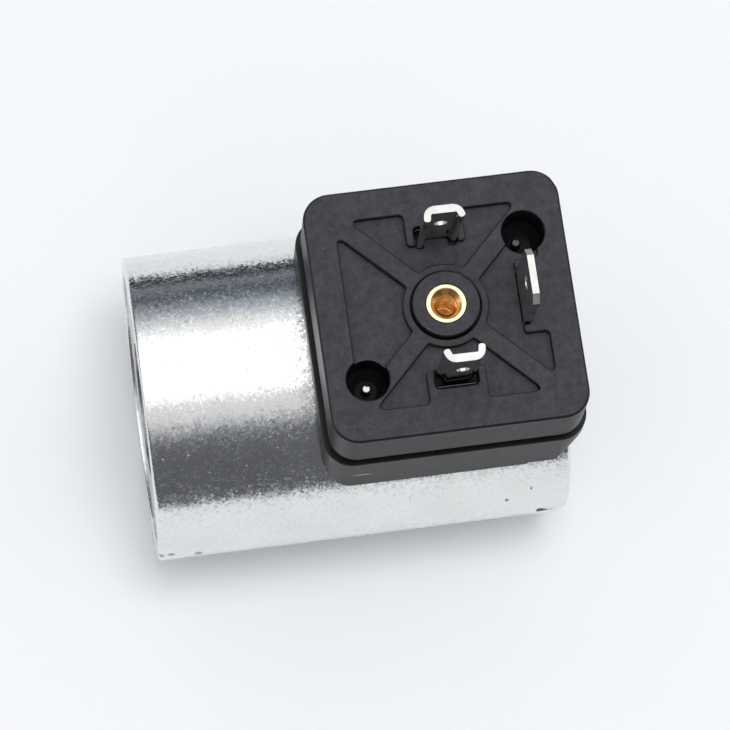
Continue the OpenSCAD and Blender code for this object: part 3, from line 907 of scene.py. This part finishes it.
# %% Pocket cutter
POCKET_HALF = 11.4 * MM
POCKET_DEPTH = 0.8 * MM
POCKET_CORNER = 0.5 * MM
POCKET_TIP = 1.2 * MM
RIB_W = 2.3 * MM
RING_R = 5 * MM
PAD_W = 6.9 * MM
PAD_IN = 7.5 * MM
EARTH_PAD_W = 8.9 * MM
EARTH_PAD_IN = 8.55 * MM

pocket_floor = face_z - POCKET_DEPTH
above = face_z + 2 * SPARE
below = pocket_floor - SPARE


def face_box(name, x0, x1, y0, y1, z0, z1):
    """A box whose sides are measured from the middle of the plug face."""
    return box(name, (middle_x + x0, y0, z0), (middle_x + x1, y1, z1))


def rib(angle):
    """A long rib across the middle of the face."""
    bar = box("rib", (-2 * POCKET_HALF, -RIB_W / 2, below), (2 * POCKET_HALF, RIB_W / 2, above + SPARE))
    bar.rotation_euler.z = math.radians(angle)
    bar.location.x = middle_x
    return bar


far = POCKET_HALF + SPARE
pockets = face_box("pockets", -POCKET_HALF, POCKET_HALF, -POCKET_HALF, POCKET_HALF, pocket_floor, above)
for tool in (
    rib(45),
    rib(-45),
    round_bar("ring", RING_R, 4 * above, (middle_x, 0, face_z)),
    face_box("earth_pad", EARTH_PAD_IN, far, -EARTH_PAD_W / 2, EARTH_PAD_W / 2, below, above + SPARE),
    face_box("pad_1", -PAD_W / 2, PAD_W / 2, PAD_IN, far, below, above + SPARE),
    face_box("pad_2", -PAD_W / 2, PAD_W / 2, -far, -PAD_IN, below, above + SPARE),
):
    carve(pockets, tool)
soften(pockets, POCKET_TIP, upright, segments=6, sharper_than=100)
soften(pockets, POCKET_CORNER, upright, sharper_than=40)
carve(plate, pockets)
print("pockets cut:", len(plate.data.polygons), "faces")

# %% Blade slots
BLADE_T = 0.8 * MM
WEB_W = 2.1 * MM
EARTH_TAIL_W = 4.4 * MM
BLADE_ROOM = 0.08 * MM
FOOT_ROOM = 0.08 * MM
EARTH_ROOM = 0.12 * MM
EARTH_SHIFT = 0.3 * MM
WEB_ROOM = 0.6 * MM
TONGUE_W = 2.84 * MM
TONGUE_CORNER = 0.45 * MM
STOP_L = 0.5 * MM
BLADE_SLOT_DEPTH = 1.6 * MM
SLOT_SOFT = 0.5 * MM

contact_low, contact_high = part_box("contact_1")
earth_low, earth_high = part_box("earth_contact")
earth_x = (earth_low.x + earth_high.x) / 2
slot_floor = face_z - BLADE_SLOT_DEPTH


def slot_tool(low, high, tail_low, tail_high):
    """A cutter for the wide slot around a blade, with a narrow one below it for the blade's tail."""
    tool = soften(box("slot", (*low, slot_floor), (*high, above)), SLOT_SOFT, upright)
    carve(tool, box("tail", (*tail_low, plate_low.z), (*tail_high, slot_floor + SPARE)), "UNION")
    return tool


web_high = contact_high.y - STOP_L
web_low = web_high - BLADE_T
slot_in = contact_low.y - FOOT_ROOM
tail_out = WEB_W / 2 + SEAT
contact_slot = slot_tool(
    (contact_low.x - BLADE_ROOM, slot_in), (contact_high.x + BLADE_ROOM, web_high + WEB_ROOM),
    (middle_x - tail_out, web_low - SEAT), (middle_x + tail_out, web_high + SEAT))
tongue = face_box("tongue", -TONGUE_W / 2, TONGUE_W / 2, slot_in - SPARE, web_low - SEAT,
                  slot_floor - SPARE, pocket_floor)
carve(contact_slot, soften(tongue, TONGUE_CORNER, lambda a, b: upright(a, b) and a.y > slot_in))
carve(plate, copy_turned(contact_slot, "contact_slot_2", middle_x))
carve(plate, contact_slot)
earth_in = earth_low.x - EARTH_SHIFT - EARTH_ROOM
earth_out = earth_high.x - EARTH_SHIFT + EARTH_ROOM
earth_end = earth_high.y + FOOT_ROOM
tail_out = EARTH_TAIL_W / 2 + SEAT
earth_slot = slot_tool((earth_in, -earth_end), (earth_out, earth_end),
                       (earth_in, -tail_out), (earth_high.x + SEAT, tail_out))
opening = face_box("opening", EARTH_PAD_IN - SEAT, earth_x - EARTH_SHIFT - middle_x,
                   -earth_end, earth_end, pocket_floor, above)
carve(earth_slot, opening, "UNION")
carve(plate, earth_slot)
print("slots cut:", len(plate.data.polygons), "faces")

# %% Screw hole and blind holes
INSERT_ROOM = 0.05 * MM
HOLE_CONE = 1.2 * MM
PIN_R = 0.62 * MM
PIN_SHIFT = 0.5 * MM
PIN_SOFT = 0.3 * MM
PIN_DEPTH = 4.1 * MM
NOTCH_R = 0.22 * MM
NOTCH_SIDES = 24

insert_low, insert_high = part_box("thread_insert")
screw_hole_depth = insert_high.z - insert_low.z + INSERT_ROOM
carve(plate, round_bar("screw_hole", insert_high.y + INSERT_ROOM, screw_hole_depth + SPARE,
                       (middle_x, 0, insert_high.z + (SPARE - screw_hole_depth) / 2)))
pin_places = [hole_places[0], hole_places[1] - Vector((PIN_SHIFT, 0, 0))]
for place, pin_place in zip(hole_places, pin_places):
    drill = round_bar("drill", HOLE_R, HOLE_DEPTH + SPARE, place + Vector((0, 0, (SPARE - HOLE_DEPTH) / 2)))
    carve(plate, soften(drill, HOLE_CONE, level(face_z - HOLE_DEPTH), segments=1))
    pin_end = round_bar("pin_end", PIN_R, HOLE_DEPTH - PIN_DEPTH + HOLE_WALL,
                        pin_place - Vector((0, 0, (HOLE_DEPTH + PIN_DEPTH + HOLE_WALL) / 2)),
                        sides=SMALL_SIDES)
    soften(pin_end, PIN_SOFT, level(face_z - PIN_DEPTH), segments=6)
    notch = pin_place + Vector((NOTCH_R / 2, PIN_R - NOTCH_R, -PIN_DEPTH))
    carve(pin_end, round_bar("notch", NOTCH_R, PIN_R, notch, sides=NOTCH_SIDES))
    carve(plate, pin_end, "UNION")
print("holes cut:", len(plate.data.polygons), "faces")

# %% Broken edges of the face
FACE_EDGE = 0.17 * MM
SAME_PLANE_DEG = 0.1


def refill(piece, z):
    """Takes off the level faces at one height and fills their outline anew."""
    edit(piece)
    choose_faces(piece, lambda middle, normal: abs(middle.z - z) < NEAR and normal.z > FLAT)
    bpy.ops.mesh.delete(type="ONLY_FACE")
    bpy.ops.mesh.select_all(action="SELECT")
    bpy.ops.mesh.delete_loose(use_verts=True, use_edges=True, use_faces=False)
    bpy.ops.mesh.select_mode(type="EDGE")
    bpy.ops.mesh.select_all(action="DESELECT")
    bpy.ops.mesh.select_non_manifold(
        use_wire=False, use_multi_face=False, use_non_contiguous=False, use_verts=False)
    bpy.ops.mesh.fill(use_beauty=False)
    bpy.ops.mesh.dissolve_limited(angle_limit=math.radians(SAME_PLANE_DEG))
    bpy.ops.mesh.select_all(action="SELECT")
    bpy.ops.mesh.normals_make_consistent(inside=False)
    done()


soften(plate, FACE_EDGE, level(face_z), segments=2, sharper_than=60, convex=True)
refill(plate, face_z)
print("edges broken:", len(plate.data.polygons), "faces")

# %% Plate walls, edges and holes with painted shade
HOLE_PAINTED_SHADE, BARE_PIN, COATED_PIN = 3, 4, 5
NEARLY_LEVEL = 0.98
UPWARD = 0.7

hand_over(plate, "terminal_plate", "black_moulding", moulding, smooth_wall_painted_shade, edge_painted_shade, recess_painted_shade,
          turned_steel, glossy_bead)
inside = plate_high.x - middle_x - PLATE_EDGE
for face in plate.data.polygons:
    spot = face.center
    from_hole = min((spot.xy - place.xy).length for place in hole_places)
    in_face = max(abs(spot.x - middle_x), abs(spot.y)) < inside and spot.z > slot_floor - NEAR
    level_face = face.normal.z > NEARLY_LEVEL and spot.z > pocket_floor - NEAR
    # Painted shade: the walls and floors of the corner holes are painted near black, and the pin ends keep
    # their own finish.
    if from_hole < HOLE_R + NEAR and face_z - HOLE_DEPTH - NEAR < spot.z < face_z - NEAR:
        from_pin = min((spot.xy - place.xy).length for place in pin_places)
        pin_top = from_pin < PIN_R and face.normal.z > UPWARD and spot.z > face_z - PIN_DEPTH - PIN_SOFT
        pin_finish = BARE_PIN if spot.x < middle_x else COATED_PIN
        face.material_index = pin_finish if pin_top else HOLE_PAINTED_SHADE
    # Painted shade: the walls of pockets, slots and boss and the plate's rounded top edge are painted near
    # black, and other walls darker.
    elif (in_face or face_z - PLATE_EDGE < spot.z < face_z - 0.1 * PLATE_EDGE) and not level_face:
        face.material_index = EDGE
    elif not level_face:
        face.material_index = PAINTED_WALL_LIGHT_AND_SHADE
finishes = range(len(plate.data.materials))
counts = [sum(face.material_index == index for face in plate.data.polygons) for index in finishes]
print("faces by finish:", counts)

# %% [markdown]
# ## Brass insert
#
# The plug is held by one screw, so a brass insert with an M3 thread is moulded into the boss. Its mouth
# is countersunk. The thread is cut as a tap does it: a small triangle is screwed around the axis with a
# Screw modifier, which makes a helical cutter, and that cutter is taken out of a plain bored cylinder.

# %% Insert blank
INSERT_BORE_R = 1.25 * MM
INSERT_MOUTH_R = 1.85 * MM
INSERT_EDGE = 0.12 * MM
INSERT_END = 0.6 * MM

insert_r = insert_high.y
insert_length = insert_high.z - insert_low.z
insert_middle = Vector((0, 0, (insert_low.z + insert_high.z) / 2))
insert = round_bar("brass_insert", insert_r, insert_length, insert_middle)
bore_length = insert_length - INSERT_END + SPARE
carve(insert, round_bar("bore", INSERT_BORE_R, bore_length, (0, 0, insert_high.z + SPARE - bore_length / 2)))
mouth_depth = INSERT_MOUTH_R - INSERT_BORE_R
mouth_middle = (0, 0, insert_high.z - mouth_depth / 2)
bpy.ops.mesh.primitive_cone_add(vertices=SIDES, radius1=INSERT_BORE_R - SEAT, radius2=INSERT_MOUTH_R + SEAT,
                                depth=mouth_depth + 2 * SEAT, location=mouth_middle)
carve(insert, settle("countersink"))
soften(insert, INSERT_EDGE, level(insert_high.z), segments=3)
print("insert blank:", len(insert.data.polygons), "faces")

# %% Thread
PITCH = 0.5 * MM
THREAD_TOOTH = 0.25 * MM
TOOTH_OUT = 0.03 * MM
THREAD_STEPS = 48

thread_turns = int((insert_length - INSERT_END - 2 * PITCH) / PITCH)
bpy.ops.object.select_all(action="DESELECT")
bpy.ops.mesh.primitive_circle_add(
    vertices=3, radius=THREAD_TOOTH, fill_type="NOTHING", rotation=(math.pi / 2, math.pi / 2, 0),
    location=(INSERT_BORE_R + TOOTH_OUT, 0, insert_low.z + INSERT_END + PITCH))
tap = settle("tap")
apply_modifier(tap, "SCREW", axis="Z", screw_offset=PITCH, iterations=thread_turns, steps=THREAD_STEPS,
               render_steps=THREAD_STEPS, use_merge_vertices=False)
edit(tap)
bpy.ops.mesh.select_all(action="SELECT")
bpy.ops.mesh.remove_doubles(threshold=NEAR / 10)
bpy.ops.mesh.fill_holes(sides=3)
bpy.ops.mesh.select_all(action="SELECT")
bpy.ops.mesh.normals_make_consistent(inside=False)
done()
carve(insert, tap)
edit(insert)
bpy.ops.mesh.select_all(action="SELECT")
bpy.ops.transform.translate(value=(middle_x, 0, 0))
done()
print("thread:", thread_turns, "turns,", len(insert.data.polygons), "faces")

# %% Brass
BRASS = ((0.78, 0.68, 0.42), (0.88, 0.8, 0.56))
# Painted reflection: the bore's brass is painted redder and deeper, the colour of light bounced round the
# thread, with some tarnish at the bottom.
BORE_BRASS_PAINTED_REFLECTION = ((0.7, 0.34, 0.09), (0.95, 0.64, 0.3))
BRASS_CLOUD = 0.8
BRASS_GRAIN = 0.4
BRASS_ROUGH = (0.16, 0.28)
TOOL_MARK = 0.15
TOOL_MARK_DEPTH = 0.006
IN_BORE = 1


def brass_finish(name, colours):
    """Machined brass, a little darker where it has tarnished."""
    material, tree, shader, coordinates = new_finish(name)
    tarnish = noise(tree, coordinates, BRASS_CLOUD, detail=4)
    tree.links.new(shades(tree, tarnish, *colours), shader.inputs["Base Color"])
    shader.inputs["Metallic"].default_value = 1.0
    rough = spread(tree, noise(tree, coordinates, BRASS_GRAIN), *BRASS_ROUGH)
    tree.links.new(rough, shader.inputs["Roughness"])
    tool_marks = noise(tree, coordinates, TOOL_MARK, detail=2)
    tree.links.new(bump(tree, tool_marks, TOOL_MARK_DEPTH), shader.inputs["Normal"])
    return material


hand_over(insert, "thread_insert", "insert_brass", brass_finish("brass", BRASS),
          brass_finish("bore_brass_painted_reflection", BORE_BRASS_PAINTED_REFLECTION))
# The faces inside the bore get the brass painted redder, as painted reflection with some tarnish.
for face in insert.data.polygons:
    from_axis = math.hypot(face.center.x - middle_x, face.center.y)
    if from_axis < INSERT_MOUTH_R and face.center.z < insert_high.z - NEAR:
        face.material_index = IN_BORE
print("bore faces:", sum(face.material_index == IN_BORE for face in insert.data.polygons))

# %% [markdown]
# ## Contact blades
#
# Two contacts stand at the front and back of the face. Each is stamped from strip and folded into a
# shallow channel that opens to the middle. It is modelled in the same order: a flat plane for the web,
# its two side edges spun round a bend, short flanges pulled out straight, and the tail pulled down. The
# bends of the real ones aren't alike, one flange is splayed more. Solidify then gives the strip its
# thickness, the web gets a little more on its inner side, as folding leaves the flanges thinner, and a
# fine bevel takes the sheared edges off.

# %% Channel shaped contact
WEB_FILL = 0.15 * MM
BEND_R = 0.9 * MM
SPLAY_DEG = {-1: 8, 1: 22}
FLANGE_L = 0.68 * MM
BLADE_HOLE_R = 0.85 * MM
BLADE_HOLE_RISE = 5.5 * MM
BLADE_HOLE_FLARE = 0.12 * MM
BLADE_EDGE = 0.1 * MM
FLANGE_END = 0.3 * MM
BEND_STEPS = 8
CONTACT_SHARP_DEG = 50

web_y = (web_low + web_high) / 2
blade_foot = slot_floor + SEAT
bpy.ops.object.select_all(action="DESELECT")
bpy.ops.mesh.primitive_plane_add(
    size=1, rotation=(math.pi / 2, 0, 0), location=(middle_x, web_y, (blade_foot + contact_high.z) / 2))
bpy.context.object.scale = (WEB_W, contact_high.z - blade_foot, 1)
contact = settle("plug_contact_1")
edit(contact)
for side, splay_deg in SPLAY_DEG.items():
    bend = math.radians(90 - splay_deg)
    edge_x = middle_x + side * WEB_W / 2
    choose_edges(contact, lambda a, b: upright(a, b) and abs(a.x - edge_x) < NEAR)
    bend_middle = (edge_x, web_y - BEND_R, 0)
    bpy.ops.mesh.spin(steps=BEND_STEPS, angle=side * bend, center=bend_middle, axis=(0, 0, 1))
    bpy.ops.mesh.extrude_region_move(TRANSFORM_OT_translate={
        "value": (side * FLANGE_L * math.cos(bend), -FLANGE_L * math.sin(bend), 0)})
choose_edges(contact, lambda a, b: level(blade_foot)(a, b) and abs(a.x + b.x - 2 * middle_x) < NEAR)
bpy.ops.mesh.extrude_region_move(TRANSFORM_OT_translate={"value": (0, 0, contact_low.z - blade_foot)})
bpy.ops.mesh.select_all(action="SELECT")
bpy.ops.mesh.remove_doubles(threshold=NEAR)
bpy.ops.mesh.normals_make_consistent(inside=False)
done()
apply_modifier(contact, "SOLIDIFY", thickness=BLADE_T, offset=0, use_even_offset=True)
web_reach = WEB_W / 2 + 2 * WEB_FILL
web_fill = face_box("web_fill", -web_reach, web_reach, web_low - WEB_FILL, web_y, face_z, contact_high.z)
carve(contact, web_fill, "UNION")
hole_z = face_z + BLADE_HOLE_RISE
soften(contact, FLANGE_END, lambda a, b: upright(a, b) and a.y < web_low - BLADE_T / 2, sharper_than=60)
apply_modifier(contact, "BEVEL", width=BLADE_EDGE, segments=2, limit_method="ANGLE",
               angle_limit=math.radians(CONTACT_SHARP_DEG))
print("contact:", len(contact.data.polygons), "faces")

# %% [markdown]
# At its foot a contact has a stop, a glossy black bead that rests on the floor of the slot and keeps the
# blade from being pushed in when the plug goes on. The other contact is the same stamping, turned round.
# A punch made the small hole in each, and such a hole tears wider on the far side, so the tool for it is
# a cone. The photographed contacts have been bent a little by plugging, so both are tipped about their
# feet.

# %% Stops and the second contact
STOP_W = 4.8 * MM
STOP_H = 1.1 * MM
STOP_FOOT_H = 0.15 * MM
STOP_GAP = 0.14 * MM
STOP_SOFT = 0.16 * MM
STOP_CORNER = 0.34 * MM
LEAN_DEG = 1.8
FRONT_LEAN_DEG = 1.3

stop = face_box("stop", -STOP_W / 2, STOP_W / 2, web_high + STOP_GAP, contact_high.y,
                blade_foot, blade_foot + STOP_H)
soften(stop, STOP_CORNER, lambda a, b: upright(a, b) and a.y > contact_high.y - NEAR)
soften(stop, STOP_SOFT, level(blade_foot + STOP_H))
carve(contact, face_box("stop_foot", -STOP_W / 2, STOP_W / 2, web_y, contact_high.y - STOP_GAP,
                        blade_foot, blade_foot + STOP_FOOT_H), "UNION")
carve(contact, stop, "UNION")
contact_copy = copy_turned(contact, "plug_contact_2", middle_x)
for piece, hole_y in ((contact, web_y), (contact_copy, -web_y)):
    bpy.ops.mesh.primitive_cone_add(
        vertices=SMALL_SIDES, radius1=BLADE_HOLE_R + BLADE_HOLE_FLARE, depth=2 * BLADE_T,
        radius2=BLADE_HOLE_R - BLADE_HOLE_FLARE, rotation=LYING["Y"], location=(middle_x, hole_y, hole_z))
    carve(piece, settle("punch"))
    lean(piece, LEAN_DEG, "Y", (middle_x, 0, blade_foot), face_z)
lean(contact_copy, FRONT_LEAN_DEG, "X", (middle_x, -web_y, blade_foot), face_z)
print("stops and holes:", len(contact.data.polygons), "faces")

# %% Earth blade
EARTH_CHAMFER = 1 * MM
EARTH_LEAN_DEG = 2.7
EARTH_SHARP_DEG = 40

earth = box("earth_blade", (earth_low.x, earth_low.y, blade_foot), earth_high)
soften(earth, EARTH_CHAMFER, lambda a, b: level(earth_high.z)(a, b) and abs(a.y - b.y) < NEAR, segments=1)
edit(earth)
choose_faces(earth, lambda middle, normal: normal.z < -ENDWAYS)
bpy.ops.mesh.extrude_region_move(TRANSFORM_OT_translate={"value": (0, 0, 0)})
bpy.ops.transform.resize(value=(1, EARTH_TAIL_W / (earth_high.y - earth_low.y), 1))
bpy.ops.mesh.extrude_region_move(TRANSFORM_OT_translate={"value": (0, 0, earth_low.z - blade_foot)})
done()
carve(earth, round_bar("drill", BLADE_HOLE_R, 4 * BLADE_T, (earth_x, 0, hole_z), "X", SMALL_SIDES))
apply_modifier(earth, "BEVEL", width=BLADE_EDGE, segments=2, limit_method="ANGLE",
               angle_limit=math.radians(EARTH_SHARP_DEG))
earth_pivot = face_z + EARTH_SHIFT / math.tan(math.radians(EARTH_LEAN_DEG))
lean(earth, EARTH_LEAN_DEG, "Y", (earth_x, 0, earth_pivot), blade_foot - BLADE_EDGE)
print("earth blade:", len(earth.data.polygons), "faces")

# %% Tinned brass
TIN_GREY = ((0.54, 0.53, 0.5), (0.64, 0.63, 0.6))
TIN_CLOUD = 1.5
TIN_GRAIN = 0.5
TIN_ROUGH = (0.08, 0.14)
SHEARED_ROUGH = (0.5, 0.6)
ROLL_LINE = 0.12
ROLL_STRETCH = (1, 1, 0.08)
ROLL_DEPTH = 0.001
BEAD, FOOT_PAINTED_SHADE = 1, 2
SHEARED = 1
SLANTED = 0.5


def tin_finish(name, rough):
    """Brass strip with a bright tin coat: soft reflections and fine rolling lines along the blade."""
    material, tree, shader, coordinates = new_finish(name)
    cloud = noise(tree, coordinates, TIN_CLOUD, detail=3)
    tree.links.new(shades(tree, cloud, *TIN_GREY), shader.inputs["Base Color"])
    shader.inputs["Metallic"].default_value = 1.0
    matt = spread(tree, noise(tree, coordinates, TIN_GRAIN), *rough)
    tree.links.new(matt, shader.inputs["Roughness"])
    stretched = add_node(tree, "Mapping", {"Vector": coordinates, "Scale": ROLL_STRETCH}).outputs["Vector"]
    rolled = noise(tree, stretched, ROLL_LINE, detail=2)
    tree.links.new(bump(tree, rolled, ROLL_DEPTH), shader.inputs["Normal"])
    return material


tin = tin_finish("tin", TIN_ROUGH)
hand_over(contact, "contact_1", "tinned_brass", tin, glossy_bead, recess_painted_shade)
hand_over(contact_copy, "contact_2", "tinned_brass", tin, glossy_bead, recess_painted_shade)
hand_over(earth, "earth_contact", "tinned_brass", tin, tin_finish("sheared_tin", SHEARED_ROUGH))
for face in earth.data.polygons:
    slanted = abs(face.normal.y) > SLANTED and face.normal.z > SLANTED
    face.material_index = SHEARED if slanted else 0
for piece in (contact, contact_copy):
    for face in piece.data.polygons:
        outside = abs(face.center.y) > web_high + NEAR or face.normal.z > ENDWAYS
        if outside and blade_foot - NEAR < face.center.z < blade_foot + STOP_H + NEAR:
            # Painted shade: the top of the stop's foot, at the floor of the slot, is painted near black.
            face.material_index = BEAD if face.center.z > blade_foot + STOP_FOOT_H + NEAR else FOOT_PAINTED_SHADE
    print("bead faces:", sum(face.material_index == BEAD for face in piece.data.polygons))

# %% [markdown]
# ## Seal, winding and wiring
#
# The seal between the two mouldings shows only as a dark line, and the bobbin, the winding and the wiring
# are out of sight. Their plain solids already have the right shape, so they stay, and only get their
# finishes. One function covers them: a base shade that varies between two colours, a roughness, and a
# bump of its own grain.

# %% Inner finishes
ROUGH_SPREAD = 0.06


def inner_finish(name, dark, light, rough, metallic=0.0, grain=0.6, depth=0.01):
    """A mottled finish for a piece inside the coil."""
    material, tree, shader, coordinates = new_finish(name)
    mottle = noise(tree, coordinates, grain, detail=3)
    tree.links.new(shades(tree, mottle, dark, light), shader.inputs["Base Color"])
    shader.inputs["Metallic"].default_value = metallic
    matt = spread(tree, noise(tree, coordinates, grain), rough - ROUGH_SPREAD, rough + ROUGH_SPREAD)
    tree.links.new(matt, shader.inputs["Roughness"])
    tree.links.new(bump(tree, mottle, depth), shader.inputs["Normal"])
    return material


copper = inner_finish("enamelled_copper", (0.42, 0.14, 0.05), (0.6, 0.24, 0.1), 0.3, metallic=1.0, grain=0.3)
solder = inner_finish("solder", (0.5, 0.5, 0.5), (0.66, 0.66, 0.65), 0.28, metallic=1.0, grain=0.5)
strap_brass = inner_finish("strap_brass", (0.58, 0.42, 0.18), (0.74, 0.56, 0.28), 0.3, metallic=1.0)
INNER = {
    "plate_seal": inner_finish("seal_rubber", (0.003, 0.003, 0.003), (0.006, 0.006, 0.006), 0.7),
    "bobbin": inner_finish("bobbin_nylon", (0.016, 0.016, 0.017), (0.03, 0.03, 0.032), 0.45),
    "winding": copper,
    "winding_tape": inner_finish("polyester_tape", (0.62, 0.42, 0.08), (0.76, 0.54, 0.14), 0.35),
    "potting": inner_finish("cast_resin", (0.02, 0.022, 0.024), (0.04, 0.042, 0.045), 0.3),
    "earth_strap": strap_brass,
    "lead_1": copper,
    "lead_2": copper,
    "lead_sleeve_1": inner_finish("red_sleeve", (0.4, 0.02, 0.015), (0.52, 0.04, 0.03), 0.45),
    "lead_sleeve_2": inner_finish("black_sleeve", (0.012, 0.012, 0.012), (0.024, 0.024, 0.024), 0.45),
    "solder_joint_1": solder,
    "solder_joint_2": solder,
}
for node, material in INNER.items():
    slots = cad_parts[node].data.materials
    slots.clear()
    slots.append(material)
print("finished", len(INNER), "inner pieces")
